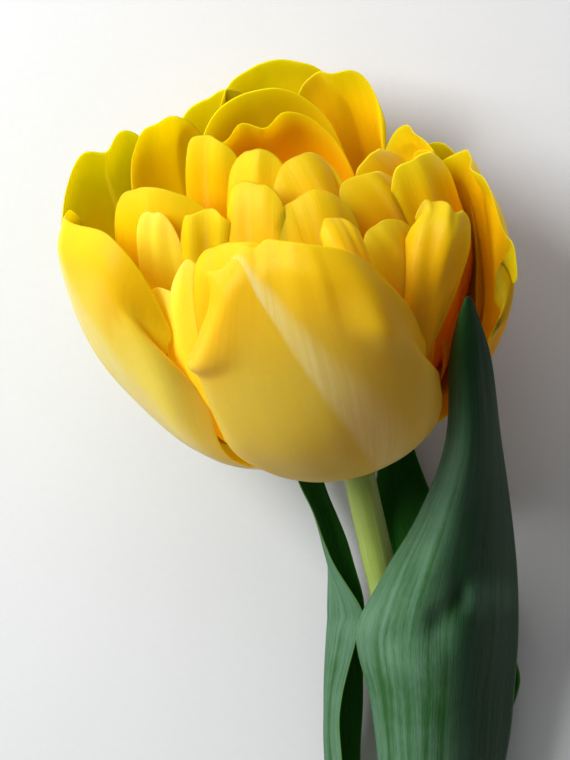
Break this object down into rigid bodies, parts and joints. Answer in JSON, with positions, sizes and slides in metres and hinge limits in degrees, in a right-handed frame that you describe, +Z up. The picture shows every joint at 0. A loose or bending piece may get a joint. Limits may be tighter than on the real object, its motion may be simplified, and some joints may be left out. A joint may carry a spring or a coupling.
{
  "type": "cut double tulip",
  "caption": "Cut double early tulip lying on its side: a full yellow bloom of layered petals on a bent green stem with clasping leaves.",
  "frame": {"origin": "the flat spot under the bloom on which it rests, on the surface that the flower lies on", "axes": "+Z up from the surface, +Y along the flower towards the bloom, +X to the bloom's right as seen from above"},
  "size_m": [0.0897, 0.2667, 0.0749],
  "materials": {
    "petal": "satin, soft petal",
    "stem": "satin, smooth pale green stalk",
    "leaf": "matt with a pale bloom, lengthwise veins"
  },
  "bodies": {
    "root": {"bloom": "petal", "stem": "stem", "leaf_front": "leaf", "leaf_left": "leaf", "leaf_back": "leaf"}
  },
  "joints": []
}
